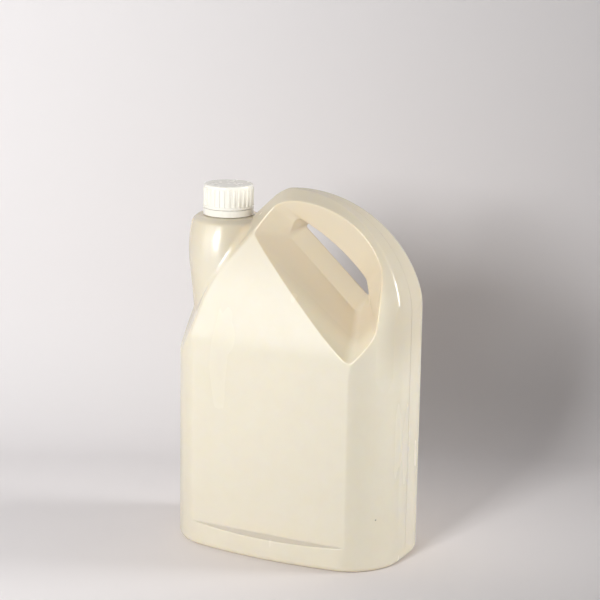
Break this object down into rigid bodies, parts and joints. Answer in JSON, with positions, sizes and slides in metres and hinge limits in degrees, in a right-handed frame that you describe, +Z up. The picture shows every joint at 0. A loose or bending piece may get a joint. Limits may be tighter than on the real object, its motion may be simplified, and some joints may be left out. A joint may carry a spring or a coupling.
{
  "type": "plastic jerrycan",
  "caption": "Blow-moulded jerrycan with flat label panels, an arched moulded-in handle over a slanted hand hole, and an offset neck with a ribbed screw cap over a tamper band.",
  "frame": {"origin": "centre of the bounding box's bottom face, on the plane that the can stands on and on the mould's parting plane", "axes": "+X along the width towards the handle side, with the neck at -X; +Y along the depth towards the back panel; +Z up"},
  "size_m": [0.206, 0.128, 0.309],
  "materials": {
    "natural_polyethylene": "translucent satin, natural ivory high-density polyethylene",
    "cap_polypropylene": "opaque off-white, softly glossy",
    "foam_wad": "white closed-cell foam"
  },
  "bodies": {
    "can": {"bottle": "natural_polyethylene", "tamper_band": "cap_polypropylene"},
    "wad": {"liner": "foam_wad"},
    "cap": {"cap": "cap_polypropylene"}
  },
  "joints": [
    {"name": "cap_rise", "type": "slide", "parent": "can", "child": "wad", "axis": [0, 0, 1], "range_m": [0, 0.0085]},
    {"name": "cap_turn", "type": "hinge", "parent": "wad", "child": "cap", "pos_m": [-0.0705, 0, 0.29], "axis": [0, 0, 1], "range_deg": [0, 720]}
  ],
  "couplings": [
    {"joint": "cap_rise", "follows": "cap_turn", "m_per_rad": 0.00066845}
  ]
}
